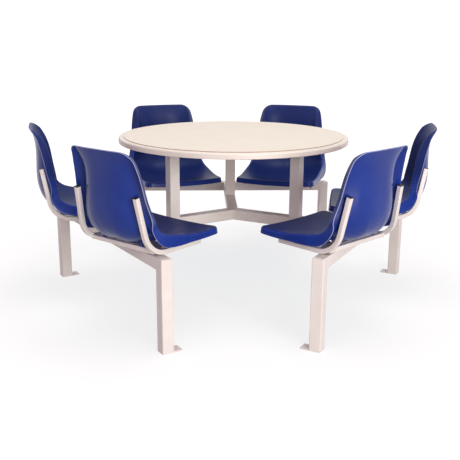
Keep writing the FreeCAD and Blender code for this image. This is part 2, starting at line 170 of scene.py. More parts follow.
def makePowderCoat():
    mat, tree, shader, where = startMaterial("creamPowderCoat")
    setColour(tree, shader, addTones(tree, addNoise(tree, where, *powder["drift"]), powder))
    setRoughness(tree, shader, addNoise(tree, where, *powder["gloss"]), powder)
    addBump(tree, shader, addNoise(tree, where, *powder["peel"]), *powder["peelBump"])
    return mat


# blue moulded polypropylene: glossier back, finely grained sitting face whose darker tone is painted shade
# (carried up onto the wings), and a paler free edge that is a painted highlight
plastic = dict(light=paint(34, 60, 146), deep=paint(26, 50, 133), shadedSitLight=paint(25, 42, 103),
               shadedSitDeep=paint(21, 36, 93), paintedEdgeHighlight=paint(150, 158, 208), flow=(5.0, 4.0, 0.6), shine=0.2,
               smudge=(38.0, 3.0), roughness=(0.20, 0.27), sitRoughness=0.16, grain=520.0,
               grainShare=(0.12, 1.0), grainBump=(0.45, 0.00022), ripple=(26.0, 1.0),
               rippleBump=(0.06, 0.002))


def makeSeatPlastic():
    mat, tree, shader, where = startMaterial("blueSeatPlastic")
    face = addAttribute(tree, "grainAndShade")
    flow = addNoise(tree, where, *plastic["flow"])
    back = addTones(tree, flow, plastic)
    # darker tones on the grained sitting face and the upper wings: painted shade
    front = addTones(tree, flow, plastic, "shadedSitDeep", "shadedSitLight")
    body = addMix(tree, face, back, front)
    # the free-edge strip is mixed towards a pale blue: a painted highlight along the edge
    setColour(tree, shader, addMix(tree, addAttribute(tree, "paintedEdgeHighlight"), body, plastic["paintedEdgeHighlight"]))
    shader.inputs["Specular IOR Level"].default_value = plastic["shine"]
    smudge = addRange(tree, addNoise(tree, where, *plastic["smudge"]), *plastic["roughness"])
    rougher = addMath(tree, "MULTIPLY", face, plastic["sitRoughness"])
    tree.links.new(addMath(tree, "ADD", smudge, rougher), shader.inputs["Roughness"])
    share = addRange(tree, face, *plastic["grainShare"], fromLow=0.0, fromHigh=1.0)
    grain = addMath(tree, "MULTIPLY", addCells(tree, where, plastic["grain"]), share)
    leather = addBump(tree, shader, grain, *plastic["grainBump"])
    addBump(tree, shader, addNoise(tree, where, *plastic["ripple"]), *plastic["rippleBump"], leather)
    return mat


# cream laminate with a faint speckle and the fine pebble of a pressed sheet, brown core at its rim
laminate = dict(light=paint(243, 236, 220), deep=paint(240, 231, 213), fleck=paint(226, 211, 192),
                core=paint(150, 116, 94), cloud=(9.0, 4.0), speckle=(760.0, 2.0), fleckShare=(0.0, 0.45),
                fleckFrom=(0.62, 0.72), top=0.760, coreBelow=0.8 * mm, sheetAbove=0.3 * mm, gloss=(60.0, 3.0),
                roughness=(0.46, 0.56), pebble=(1100.0, 1.0), pebbleBump=(0.2, 0.00008))


def makeLaminate():
    mat, tree, shader, where = startMaterial("creamLaminate")
    cloud = addTones(tree, addNoise(tree, where, *laminate["cloud"]), laminate)
    speckle = addNoise(tree, where, *laminate["speckle"])
    flecks = addRange(tree, speckle, *laminate["fleckShare"], *laminate["fleckFrom"])
    sheet = addMix(tree, flecks, cloud, laminate["fleck"])
    split = tree.nodes.new("ShaderNodeSeparateXYZ")
    tree.links.new(where, split.inputs[0])
    low, high = laminate["top"] - laminate["coreBelow"], laminate["top"] - laminate["sheetAbove"]
    onTop = addRange(tree, split.outputs["Z"], 0.0, 1.0, low, high)
    setColour(tree, shader, addMix(tree, onTop, laminate["core"], sheet))
    setRoughness(tree, shader, addNoise(tree, where, *laminate["gloss"]), laminate)
    addBump(tree, shader, addNoise(tree, where, *laminate["pebble"]), *laminate["pebbleBump"])
    return mat


# edging of moulded plastic, a touch warmer than the laminate, with faint lines round the ring
edging = dict(light=paint(241, 233, 222), deep=paint(233, 222, 209), gloss=(120.0, 2.0),
              roughness=(0.30, 0.42), lineStretch=(4.0, 4.0, 900.0), line=(1.0, 2.0),
              lineBump=(0.15, 0.00008))


def makeEdging():
    mat, tree, shader, where = startMaterial("creamEdging")
    lines = addNoise(tree, stretched(tree, where, edging["lineStretch"]), *edging["line"])
    setColour(tree, shader, addTones(tree, lines, edging))
    setRoughness(tree, shader, addNoise(tree, where, *edging["gloss"]), edging)
    addBump(tree, shader, lines, *edging["lineBump"])
    return mat


# black plastic of the plugs and washers
black = dict(light=paint(27, 27, 30), deep=paint(14, 14, 16), cloud=(160.0, 3.0),
             roughness=(0.38, 0.52), grain=1500.0, grainBump=(0.3, 0.00006))


def makeBlackPlastic():
    mat, tree, shader, where = startMaterial("blackPlastic")
    cloud = addNoise(tree, where, *black["cloud"])
    setColour(tree, shader, addTones(tree, cloud, black))
    setRoughness(tree, shader, cloud, black)
    addBump(tree, shader, addCells(tree, where, black["grain"]), *black["grainBump"])
    return mat


# zinc plated screws
zinc = dict(light=paint(205, 205, 200), deep=paint(168, 166, 158), cloud=(300.0, 3.0),
            roughness=(0.26, 0.42), bloom=(1800.0, 1.0), bloomBump=(0.15, 0.00004))


def makeZinc():
    mat, tree, shader, where = startMaterial("zincPlate")
    shader.inputs["Metallic"].default_value = 1.0
    cloud = addNoise(tree, where, *zinc["cloud"])
    setColour(tree, shader, addTones(tree, cloud, zinc))
    setRoughness(tree, shader, cloud, zinc)
    addBump(tree, shader, addNoise(tree, where, *zinc["bloom"]), *zinc["bloomBump"])
    return mat


# turned steel of the bushes and pins, ring marks along the height
steel = dict(light=paint(186, 184, 180), deep=paint(150, 148, 145), roughness=(0.24, 0.40),
             ringStretch=(6.0, 6.0, 2600.0), ring=(1.0, 2.0), ringBump=(0.2, 0.00005))


def makeTurnedSteel():
    mat, tree, shader, where = startMaterial("turnedSteel")
    shader.inputs["Metallic"].default_value = 1.0
    rings = addNoise(tree, stretched(tree, where, steel["ringStretch"]), *steel["ring"])
    setColour(tree, shader, addTones(tree, rings, steel))
    setRoughness(tree, shader, rings, steel)
    addBump(tree, shader, rings, *steel["ringBump"])
    return mat


powderCoat = makePowderCoat()
seatPlastic = makeSeatPlastic()
creamLaminate = makeLaminate()
creamEdging = makeEdging()
blackPlastic = makeBlackPlastic()
zincPlate = makeZinc()
turnedSteel = makeTurnedSteel()


def coat(obj, mat):
    obj.data.materials.clear()
    obj.data.materials.append(mat)
    for face in obj.data.polygons:
        face.material_index = 0


nodeFinish = {"table_top": creamLaminate, "table_edge_band": creamEdging, "table_screws": zincPlate,
              "swivel_bushes": turnedSteel, "stop_pins": turnedSteel, "thrust_washers": blackPlastic,
              "rail_plugs": blackPlastic, "fixings": zincPlate, "shell": seatPlastic}
for nodeName, node in cadNodes.items():
    shortName = nodeName.split("_", 2)[2] if nodeName.startswith("seat_") else nodeName
    coat(node, nodeFinish.get(shortName, powderCoat))
print("materials on the frame")


# where the seats stand: arms at three angles, two seats on each beam
seatPlan = dict(armAngles=(90, 210, 330), beamDistance=0.675, pivotDistance=0.327, restTurn=18.5,
                barBehindPivot=0.040, base=0.396, railTop=0.416)


def turnedBy(angle):
    return Matrix.Rotation(math.radians(angle), 4, "Z")


def seatPlaces():
    places = []
    toBar = Matrix.Translation((0, -seatPlan["barBehindPivot"], 0))
    for angle in seatPlan["armAngles"]:
        for side in sides:
            pivot = Vector((seatPlan["beamDistance"], side * seatPlan["pivotDistance"], 0))
            turn = turnedBy(angle + 90 + side * seatPlan["restTurn"])
            places.append(Matrix.Translation(turnedBy(angle) @ pivot) @ turn @ toBar)
    return places


places = seatPlaces()


def meshFrom(name, form):
    mesh = bpy.data.meshes.new(name)
    form.to_mesh(mesh)
    form.free()
    return mesh


def linkMesh(name, mesh):
    obj = bpy.data.objects.new(name, mesh)
    bpy.context.scene.collection.objects.link(obj)
    return obj


def settle(obj, body, slotName, *replaced):
    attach(obj, body)
    if replaced:
        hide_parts(*replaced)


# geometry node helpers
def newTree(name, inputs):
    tree = bpy.data.node_groups.new(name, "GeometryNodeTree")
    tree.interface.new_socket("Geometry", in_out="INPUT", socket_type="NodeSocketGeometry")
    keys = {}
    for label, kind in inputs:
        socket = tree.interface.new_socket(label, in_out="INPUT", socket_type="NodeSocket" + kind)
        keys[label] = socket.identifier
    tree.interface.new_socket("Geometry", in_out="OUTPUT", socket_type="NodeSocketGeometry")
    return tree, keys, tree.nodes.new("NodeGroupInput")


def addNode(tree, kind, links=None, **values):
    node = tree.nodes.new(kind)
    for key, value in values.items():
        setattr(node, key, value)
    for socket, source in (links or {}).items():
        if hasattr(source, "is_output"):
            tree.links.new(source, node.inputs[socket])
        else:
            node.inputs[socket].default_value = source
    return node.outputs[0]


def closeTree(tree, source, mat):
    real = addNode(tree, "GeometryNodeRealizeInstances", {"Geometry": source})
    skin = addNode(tree, "GeometryNodeSetMaterial", {"Geometry": real, "Material": mat})
    tree.links.new(skin, tree.nodes.new("NodeGroupOutput").inputs[0])


def growMesh(name, start, tree, keys, values, evenNormals=True):
    obj = linkMesh(name, start)
    grow = obj.modifiers.new("grow", "NODES")
    grow.node_group = tree
    for label, value in values.items():
        grow[keys[label]] = value
    if evenNormals:
        obj.modifiers.new("even", "WEIGHTED_NORMAL")
    graph = bpy.context.evaluated_depsgraph_get()
    grown = obj.evaluated_get(graph)
    mesh = bpy.data.meshes.new_from_object(grown, preserve_all_data_layers=True, depsgraph=graph)
    obj.modifiers.clear()
    obj.data = mesh
    return obj


def wireMesh(name, lines):
    mesh = bpy.data.meshes.new(name)
    points = [point for line in lines for point in line]
    edges = []
    first = 0
    for line in lines:
        edges += [(first + step, first + step + 1) for step in range(len(line) - 1)]
        first += len(line)
    mesh.from_pydata(points, edges, [])
    return mesh


# square tube that follows a drawn line, with rounded long corners and a bend radius
tubeForm = dict(cornerSteps=4, inputs=[("Width", "Float"), ("Height", "Float"), ("Corner", "Float"),
                                       ("Bend Radius", "Float"), ("Bend Steps", "Int")])


def makeTubeTree():
    tree, keys, given = newTree("bentSquareTube", tubeForm["inputs"])
    out = given.outputs
    path = addNode(tree, "GeometryNodeMeshToCurve", {"Mesh": out["Geometry"]})
    bend = {"Curve": path, "Count": out["Bend Steps"], "Radius": out["Bend Radius"], "Limit Radius": True}
    path = addNode(tree, "GeometryNodeFilletCurve", bend, mode="POLY")
    size = {"Width": out["Width"], "Height": out["Height"]}
    outline = addNode(tree, "GeometryNodeCurvePrimitiveQuadrilateral", size)
    corner = {"Curve": outline, "Count": tubeForm["cornerSteps"], "Radius": out["Corner"],
              "Limit Radius": True}
    outline = addNode(tree, "GeometryNodeFilletCurve", corner, mode="POLY")
    sweep = {"Curve": path, "Profile Curve": outline, "Fill Caps": True}
    tube = addNode(tree, "GeometryNodeCurveToMesh", sweep)
    tube = addNode(tree, "GeometryNodeSetShadeSmooth", {"Geometry": tube, "Shade Smooth": True})
    closeTree(tree, tube, powderCoat)
    return tree, keys


tubeTree, tubeKeys = makeTubeTree()

# bent rails with their drilled ears, drawn in the seat's own place and then carried to the seat
rails = dict(size=0.020, corner=0.0028, spacing=0.189, front=0.208, bend=0.099, bendSteps=28, lean=10.2,
             toeIn=5.1, height=0.242, centre=0.406, earLength=0.030, earReach=0.022, earThickness=0.003,
             earHole=0.003, earForward=(0.027, 0.186), earSteps=32)
railInner = rails["spacing"] - rails["size"] / 2
earMiddle = railInner - rails["earReach"] / 2
earLow = seatPlan["railTop"] - rails["earThickness"]


def railFrame(side):
    tip = Matrix.Rotation(math.radians(-side * rails["toeIn"]), 4, "Y")
    return Matrix.Translation((side * rails["spacing"], 0, rails["centre"])) @ tip


def railLine():
    lean = math.radians(rails["lean"])
    corner = Vector((0, -rails["bend"] * math.tan(math.radians(90 - rails["lean"]) / 2), 0))
    rise = Vector((0, -math.sin(lean), math.cos(lean)))
    top = corner + rise * ((seatPlan["base"] + rails["height"] - rails["centre"]) / rise.z)
    return [Vector((0, rails["front"], 0)), corner, top]


def addEar(form, side, forward):
    # flat ear with a round hole, welded to the inner face of the rail
    weld = side * (railInner + mm)
    free = side * (railInner - rails["earReach"])
    hole = Vector((side * earMiddle, forward, 0))
    halfX, halfY = abs(weld - free) / 2, rails["earLength"] / 2
    centreX = (weld + free) / 2
    steps = rails["earSteps"]
    loops = []
    for height in (earLow, seatPlan["railTop"]):
        inner, outer = [], []
        for step in range(steps):
            angle = 2 * math.pi * (step + 0.5) / steps
            ray = Vector((math.cos(angle), math.sin(angle), 0))
            inner.append(form.verts.new(hole + ray * rails["earHole"] + Vector((0, 0, height))))
            reach = 1 / max(abs(ray.x) / halfX, abs(ray.y) / halfY)
            outer.append(form.verts.new((centreX + ray.x * reach, forward + ray.y * reach, height)))
        loops.append((inner, outer))
    (lowIn, lowOut), (highIn, highOut) = loops
    for step in range(steps):
        after = (step + 1) % steps
        form.faces.new((highIn[step], highOut[step], highOut[after], highIn[after]))
        form.faces.new((lowIn[step], lowIn[after], lowOut[after], lowOut[step]))
        form.faces.new((highOut[step], lowOut[step], lowOut[after], highOut[after]))
        form.faces.new((highIn[step], highIn[after], lowIn[after], lowIn[step]))


def makeRails(number, place):
    form = bmesh.new()
    for side in sides:
        # each rail is grown flat in its own plane, then tipped and moved
        rail = growMesh("railBlank", wireMesh("railLine", [railLine()]), tubeTree, tubeKeys,
                        {"Width": rails["size"], "Height": rails["size"], "Corner": rails["corner"],
                         "Bend Radius": rails["bend"], "Bend Steps": rails["bendSteps"]})
        rail.data.transform(railFrame(side))
        form.from_mesh(rail.data)
        bpy.data.objects.remove(rail)
    for side in sides:
        for forward in rails["earForward"]:
            addEar(form, side, forward)
    bmesh.ops.recalc_face_normals(form, faces=form.faces)
    form.transform(place)
    obj = linkMesh(f"seat_{number}_bent_rails", meshFrom(f"seatRails{number}", form))
    coat(obj, powderCoat)
    settle(obj, f"seat_{number}", "powder_coat", f"seat_{number}_rails")


# cross bar under the lower back
bar = dict(width=0.020, height=0.018, corner=0.0025, reach=0.180, behind=0.042, middle=0.412)


def makeBar(number, place):
    line = [place @ Vector((end * bar["reach"], -bar["behind"], bar["middle"])) for end in sides]
    obj = growMesh(f"seat_{number}_cross_bar", wireMesh("barLine", [line]), tubeTree, tubeKeys,
                   {"Width": bar["width"], "Height": bar["height"], "Corner": bar["corner"],
                    "Bend Radius": 0.0, "Bend Steps": 1})
    settle(obj, f"seat_{number}", "powder_coat", f"seat_{number}_rear_bar")


# soft-edged caps in the tops of the rails
plug = dict(size=0.0206, cap=0.003, shank=0.0158, depth=0.012, round=0.0011, roundSteps=3, roundShape=0.6)


def makePlugs(number, place):
    form = bmesh.new()
    top = railLine()[-1]
    lean = Matrix.Rotation(math.radians(rails["lean"]), 4, "X")
    for side in sides:
        spot = place @ railFrame(side) @ Matrix.Translation(top) @ lean
        for size, low, high in ((plug["size"], 0.0, plug["cap"]), (plug["shank"], -plug["depth"], 0.0)):
            stretch = Matrix.Diagonal((size, size, high - low, 1))
            block = spot @ Matrix.Translation((0, 0, (low + high) / 2)) @ stretch
            made = bmesh.ops.create_cube(form, size=1.0, matrix=block)
            edges = list({edge for vert in made["verts"] for edge in vert.link_edges})
            bmesh.ops.bevel(form, geom=edges, offset=plug["round"], segments=plug["roundSteps"],
                            profile=plug["roundShape"], affect="EDGES")
    mesh = meshFrom(f"plugs{number}", form)
    mesh.shade_smooth()
    obj = linkMesh(f"seat_{number}_caps", mesh)
    obj.modifiers.new("even", "WEIGHTED_NORMAL")
    coat(obj, blackPlastic)
    settle(obj, f"seat_{number}", "black_plastic", f"seat_{number}_rail_plugs")


# moulded shell: a dished sheet over the middle line, turned down all round at its rim (mm, seat's own axes)
# the keyed lists run along the middle line, by share of its length from the front edge to the top
shell = dict(
    middle=[(301, 48), (205, 36), (110, 30), (20, 29), (-30, 31), (-66, 41), (-100, 60), (-120, 82),
            (-136, 118), (-145, 165), (-145, 215), (-142, 262), (-141, 308), (-146, 364), (-158.5, 410)],
    wall=4.5, halfWidth=212.0, rim=9.0, follow=0.5, frontCorner=24.0, topCorner=32.0, centre=0.47,
    narrowing=[(0, 4), (0.15, 2), (0.36, 3), (0.50, 9), (0.62, 20), (0.69, 33), (0.78, 50), (0.88, 61),
               (0.95, 62), (1, 60)],
    dish=[(0, 8), (0.12, 16), (0.30, 38), (0.43, 57), (0.53, 72), (0.62, 80), (0.69, 80), (0.78, 68),
          (0.88, 51), (0.95, 33), (1, 12)],
    dishPower=[(0, 2.3), (0.40, 2.3), (0.55, 2.3), (0.69, 2.7), (0.78, 3.0), (1, 3.0)],
    draft=[(0, 3), (0.40, 3), (0.55, 3), (0.69, 8), (0.78, 11), (0.88, 18), (0.95, 28), (1, 45)],
    flange=[(0, 19), (0.03, 20), (0.07, 19), (0.14, 20), (0.22, 24), (0.30, 34), (0.43, 44), (0.53, 33),
            (0.62, 25), (0.69, 29), (0.78, 37), (0.88, 38), (0.95, 28), (1, 8)],
    columns=(7, 8, 26, 8, 6), rows=(8, 5, 3), step=3.0, across=2, along=4,
    edgeAngle=60, edgeRound=1.4, edgeSteps=2, edgeShape=0.5, sharpAngle=50,
    # front skin from 150 to 230 mm up takes the sitting face's grain, roughness and darker tone; the tone is
    # painted shade on the wings
    grainPast=2, wingShade=((150, 230), (0, 0.95)),
    bosses=[(112, -42, 25), (168, 27, 20), (168, 186, 20)], bossRadius=7.0, bossSink=1.5, bossSides=28)


def smoothKeys(keys, share):
    spots, values = np.array(keys, float).T
    slopes = np.gradient(values, spots)
    slopes[1:-1] = (values[2:] - values[:-2]) / (spots[2:] - spots[:-2])
    share = np.clip(share, spots[0], spots[-1])
    low = np.clip(np.searchsorted(spots, share) - 1, 0, len(spots) - 2)
    gap = spots[low + 1] - spots[low]
    t = (share - spots[low]) / gap
    rise = values[low + 1] - values[low]
    pull = (1 - t) * (slopes[low] * gap - rise) + t * (rise - slopes[low + 1] * gap)
    return values[low] + t * rise + t * (1 - t) * pull


def smoothLine(points, samples=4000):
    # one smooth line through the drawn points, with the length along it
    points = np.array(points, float)
    spots = np.concatenate([[0], np.cumsum(np.linalg.norm(np.diff(points, axis=0), axis=1))])
    gaps = np.diff(spots)
    size = len(spots)
    left = np.zeros((size, size))
    right = np.zeros((size, 2))
    left[0, :3] = gaps[1], -(gaps[0] + gaps[1]), gaps[0]
    left[-1, -3:] = gaps[-1], -(gaps[-2] + gaps[-1]), gaps[-2]
    for i in range(1, size - 1):
        left[i, i - 1:i + 2] = gaps[i - 1], 2 * (gaps[i - 1] + gaps[i]), gaps[i]
        right[i] = 6 * ((points[i + 1] - points[i]) / gaps[i] - (points[i] - points[i - 1]) / gaps[i - 1])
    bend = np.linalg.solve(left, right)
    t = np.linspace(0, spots[-1], samples)
    k = np.clip(np.searchsorted(spots, t) - 1, 0, size - 2)
    a = ((spots[k + 1] - t) / gaps[k])[:, None]
    b = 1 - a
    bow = (a ** 3 - a) * bend[k] + (b ** 3 - b) * bend[k + 1]
    line = a * points[k] + b * points[k + 1] + bow * gaps[k, None] ** 2 / 6
    run = np.concatenate([[0], np.cumsum(np.linalg.norm(np.diff(line, axis=0), axis=1))])
    return line, run


shellLine, shellRun = smoothLine(shell["middle"])
shellSlope = np.gradient(shellLine, shellRun, axis=0)
shellLength = shellRun[-1]


def shellHalf(place):
    return shell["halfWidth"] - smoothKeys(shell["narrowing"], place / shellLength)


def shellFacing(place):
    forward = np.interp(place, shellRun, shellSlope[:, 0])
    upward = np.interp(place, shellRun, shellSlope[:, 1])
    size = np.hypot(forward, upward)
    return np.stack([np.zeros_like(forward), upward / size, -forward / size], -1)


def shellPoint(x, place):
    place = np.clip(place, 0, shellLength)
    along = place / shellLength
    share = np.abs(x) / shellHalf(place)
    depth = smoothKeys(shell["dish"], along) * share ** smoothKeys(shell["dishPower"], along)
    forward = np.interp(place, shellRun, shellLine[:, 0])
    upward = np.interp(place, shellRun, shellLine[:, 1])
    return np.stack([x, forward, upward], -1) + shellFacing(place) * depth[..., None]


def unit(vectors):
    return vectors / np.linalg.norm(vectors, axis=-1, keepdims=True)


def shellNormal(x, place):
    step = shell["step"]
    ahead = np.minimum(place + step, shellLength)
    behind = np.maximum(place - step, 0)
    lengthwise = shellPoint(x, ahead) - shellPoint(x, behind)
    crosswise = shellPoint(x + step, place) - shellPoint(x - step, place)
    return unit(np.cross(lengthwise, crosswise))


def shellRim():
    front, corner, flank, topCorner, top = shell["columns"]
    points = []
    start = shellHalf(np.array(0.0)) - shell["frontCorner"]
    points += [(start * i / front, 0.0) for i in range(front)]
    for i in range(corner):
        angle = math.radians(90 * i / corner)
        place = shell["frontCorner"] * (1 - math.cos(angle))
        points.append((shellHalf(place) - shell["frontCorner"] * (1 - math.sin(angle)), place))
    sideEnd = shellLength - shell["topCorner"]
    for i in range(flank):
        place = shell["frontCorner"] + (sideEnd - shell["frontCorner"]) * i / flank
        points.append((shellHalf(place), place))
    for i in range(topCorner):
        angle = math.radians(90 * i / topCorner)
        place = sideEnd + shell["topCorner"] * math.sin(angle)
        points.append((shellHalf(place) - shell["topCorner"] * (1 - math.cos(angle)), place))
    reach = shellHalf(shellLength) - shell["topCorner"]
    points += [(reach * (1 - i / top), shellLength) for i in range(top)]
    points += [(0.0, shellLength)] + [(-x, place) for x, place in reversed(points[1:])]
    points = np.array(points, float)
    run = unit(np.roll(points, -1, axis=0) - np.roll(points, 1, axis=0))
    return points[:, 0], points[:, 1], run[:, 1], -run[:, 0]


def shellNet():
    # control net: rows from the middle of the seat over the rim to the free edge
    x, place, outX, outPlace = shellRim()
    dishRows, rimRows, flangeRows = shell["rows"]
    middle = shell["centre"] * shellLength
    points, facings = [], []
    for row in range(dishRows):
        share = row / dishRows
        points.append(shellPoint(x * share, middle + (place - middle) * share))
        facings.append(shellNormal(x * share, middle + (place - middle) * share))
    edge = shellPoint(x, place)
    facing = shellNormal(x, place)
    outward = edge - shellPoint(x - shell["step"] * outX, place - shell["step"] * outPlace)
    outward = unit(outward - facing * np.sum(outward * facing, -1, keepdims=True))
    points.append(edge)
    facings.append(facing)
    slope = np.arcsin(np.sum(outward * shellFacing(place), -1))
    draft = smoothKeys(shell["draft"], place / shellLength)
    turn = (np.radians(90 - draft) + shell["follow"] * slope)[:, None]
    for row in range(1, rimRows + 1):
        angle = turn * row / rimRows
        points.append(edge + shell["rim"] * (outward * np.sin(angle) - facing * (1 - np.cos(angle))))
        facings.append(facing * np.cos(angle) + outward * np.sin(angle))
    fall = outward * np.cos(turn) - facing * np.sin(turn)
    depth = smoothKeys(shell["flange"], place / shellLength)[:, None]
    start, last = points[-1], facings[-1]
    for row in range(1, flangeRows + 1):
        points.append(start + fall * depth * row / flangeRows)
        facings.append(last)
    # the first ring is laid flat round the middle, so the net has no peak there
    up = facings[0][0]
    heights = (points[1] - points[0]) @ up
    points[0] = points[0] + heights.mean() * up
    points[1] = points[1] + np.outer(heights.mean() - heights, up)
    facings[1] = facings[0]
    points, facings = np.array(points), np.array(facings)
    return points, points - facings * shell["wall"]


def roundWeights(count, samples):
    # smooth closed loop over evenly spaced control points
    weights = np.zeros((samples, count))
    for i, t in enumerate(np.arange(samples) * count / samples):
        k, u = int(t), t - int(t)
        blend = ((1 - u) ** 3, 3 * u ** 3 - 6 * u ** 2 + 4, -3 * u ** 3 + 3 * u ** 2 + 3 * u + 1, u ** 3)
        for j in range(4):
            weights[i, (k + j) % count] += blend[j] / 6
    return weights


def openWeights(count, samples):
    # smooth line that starts and ends on its first and last control points
    knots = np.concatenate([[0] * 3, np.arange(count - 2), [count - 3] * 3]).astype(float)
    t = np.linspace(0, count - 3, samples)[:, None]
    weights = ((t >= knots[:-1]) & (t < knots[1:])).astype(float)
    weights[-1] = 0
    weights[-1, count - 1] = 1
    for power in range(1, 4):
        low, high = knots[:-power - 1], knots[power + 1:]
        spanLow = knots[power:-1] - low
        spanHigh = high - knots[1:-power]
        first = np.divide(t - low, spanLow, out=np.zeros_like(t - low), where=spanLow > 0)
        second = np.divide(high - t, spanHigh, out=np.zeros_like(high - t), where=spanHigh > 0)
        weights = first * weights[:, :-1] + second * weights[:, 1:]
    return weights


def shellSkins():
    front, back = shellNet()
    rows, columns = front.shape[:2]
    rowWeights = openWeights(rows, (rows - 3) * shell["along"] + 1)
    columnWeights = roundWeights(columns, columns * shell["across"])
    return [np.einsum("ir,jc,rck->ijk", rowWeights, columnWeights, net) for net in (front, back)]


def makeShellMesh():
    front, back = shellSkins()
    rows, columns = front.shape[:2]
    form = bmesh.new()
    grainAndShade = form.verts.layers.float.new("grainAndShade")
    paintedEdgeHighlight = form.faces.layers.float.new("paintedEdgeHighlight")
    lift = Vector((0, 0, seatPlan["base"]))
    rings = []
    grainEnd = shell["rows"][0] * shell["along"] + shell["grainPast"]
    for skin, grained in ((front, 1.0), (back, 0.0)):
        grid = [[form.verts.new(Vector(skin[0, 0]) * mm + lift)] * columns]
        grid[0][0][grainAndShade] = grained
        for row in range(1, rows):
            line = [form.verts.new(Vector(point) * mm + lift) for point in skin[row]]
            fade = min(max((grainEnd - row) / shell["along"], 0.0), 1.0)
            for vert, point in zip(line, skin[row]):
                # painted shade: the grained sitting face and the upper front skin get the darker tone as well
                # as the grain
                vert[grainAndShade] = grained * max(fade, np.interp(point[2], *shell["wingShade"]))
            grid.append(line)
        rings.append(grid)
        for row in range(rows - 1):
            for column in range(columns):
                after = (column + 1) % columns
                corners = [grid[row][column], grid[row + 1][column], grid[row + 1][after], grid[row][after]]
                if row == 0:
                    corners.pop()
                form.faces.new(corners if grained else corners[::-1])
    frontEdge, backEdge = rings[0][-1], rings[1][-1]
    for column in range(columns):
        after = (column + 1) % columns
        strip = form.faces.new((frontEdge[column], backEdge[column], backEdge[after], frontEdge[after]))
        # marks the free-edge strip for the painted highlight (pale tone) in the material
        strip[paintedEdgeHighlight] = 1.0
    bmesh.ops.recalc_face_normals(form, faces=form.faces)
    freeEdge = [edge for edge in form.edges if edge.calc_face_angle(0) > math.radians(shell["edgeAngle"])]
    bmesh.ops.bevel(form, geom=freeEdge, offset=shell["edgeRound"] * mm, segments=shell["edgeSteps"],
                    profile=shell["edgeShape"], affect="EDGES")
    under = back[1:].reshape(-1, 3)
    for x, y, rest in shell["bosses"]:
        for side in sides:
            # pillars that the screws bite into, up to the wall above them
            near = under[np.argmin(np.hypot(under[:, 0] - side * x, under[:, 1] - y))]
            low = seatPlan["base"] + rest * mm
            high = seatPlan["base"] + (near[2] + shell["bossSink"]) * mm
            spot = Matrix.Translation((side * x * mm, y * mm, (low + high) / 2))
            radius = shell["bossRadius"] * mm
            bmesh.ops.create_cone(form, cap_ends=True, segments=shell["bossSides"], radius1=radius,
                                  radius2=radius, depth=high - low, matrix=spot)
    mesh = meshFrom("seatShell", form)
    mesh.shade_smooth()
    mesh.set_sharp_from_angle(angle=math.radians(shell["sharpAngle"]))
    return mesh


shellMesh = makeShellMesh()
print("shell:", len(shellMesh.polygons), "faces")


def makeShell(number, place):
    mesh = shellMesh.copy()
    mesh.transform(place)
    obj = linkMesh(f"seat_{number}_moulded_shell", mesh)
    coat(obj, seatPlastic)
    settle(obj, f"seat_{number}", "seat_plastic", f"seat_{number}_shell")


# screws: pan heads with a cross recess, hanging below the piece they hold
screwForm = dict(height=0.0025, shank=0.0025, shankSides=16, recess=0.0026, slot=0.0006, depth=0.0013,
                 turns=32, sharpAngle=40, merge=1e-6, seed=7,
                 dome=[(0.0, -1.0), (0.0006, -1.0), (0.0012, -1.0), (0.0019, -0.99), (0.0026, -0.96),
                       (0.0034, -0.86), (0.0041, -0.6), (0.0045, -0.2), (0.0045, 0.0)])


def makeHeadMesh():
    form = bmesh.new()
    turns = screwForm["turns"]
    loops = []
    for radius, level in screwForm["dome"]:
        loop = []
        for turn in range(turns):
            angle = 2 * math.pi * turn / turns
            x, y = radius * math.cos(angle), radius * math.sin(angle)
            z = level * screwForm["height"]
            if radius < screwForm["recess"] and min(abs(x), abs(y)) < screwForm["slot"]:
                z += screwForm["depth"] * (1 - radius / screwForm["recess"]) ** 0.5
            loop.append(form.verts.new((x, y, z)))
        loops.append(loop)
    for low, high in zip(loops, loops[1:]):
        for turn in range(turns):
            after = (turn + 1) % turns
            form.faces.new((low[turn], high[turn], high[after], low[after]))
    form.faces.new(loops[-1])
    bmesh.ops.remove_doubles(form, verts=form.verts, dist=screwForm["merge"])
    bmesh.ops.recalc_face_normals(form, faces=form.faces)
    return meshFrom("panHead", form)


headObject = linkMesh("panHead", makeHeadMesh())


def makeScrewTree():
    tree, keys, given = newTree("screwSet", [("Head", "Object"), ("Shank Radius", "Float"), ("Seed", "Int")])
    out = given.outputs
    reach = addNode(tree, "GeometryNodeInputNamedAttribute", {"Name": "reach"})
    # a plain random number has its greatest value in the fourth socket and comes out of the second
    spin = tree.nodes.new("FunctionNodeRandomValue")
    spin.inputs[3].default_value = math.pi
    tree.links.new(out["Seed"], spin.inputs["Seed"])
    turn = addNode(tree, "ShaderNodeCombineXYZ", {"Z": spin.outputs[1]})
    info = tree.nodes.new("GeometryNodeObjectInfo")
    tree.links.new(out["Head"], info.inputs["Object"])
    headSet = {"Points": out["Geometry"], "Instance": info.outputs["Geometry"], "Rotation": turn}
    heads = addNode(tree, "GeometryNodeInstanceOnPoints", headSet)
    rodSize = {"Vertices": screwForm["shankSides"], "Radius": out["Shank Radius"], "Depth": 1.0}
    rod = addNode(tree, "GeometryNodeMeshCylinder", rodSize)
    rod = addNode(tree, "GeometryNodeTransform", {"Geometry": rod, "Translation": (0, 0, 0.5)})
    stretch = addNode(tree, "ShaderNodeCombineXYZ", {"X": 1.0, "Y": 1.0, "Z": reach})
    shankSet = {"Points": out["Geometry"], "Instance": rod, "Scale": stretch}
    shanks = addNode(tree, "GeometryNodeInstanceOnPoints", shankSet)
    both = tree.nodes.new("GeometryNodeJoinGeometry")
    tree.links.new(heads, both.inputs[0])
    tree.links.new(shanks, both.inputs[0])
    closeTree(tree, both.outputs[0], zincPlate)
    return tree, keys


screwTree, screwKeys = makeScrewTree()


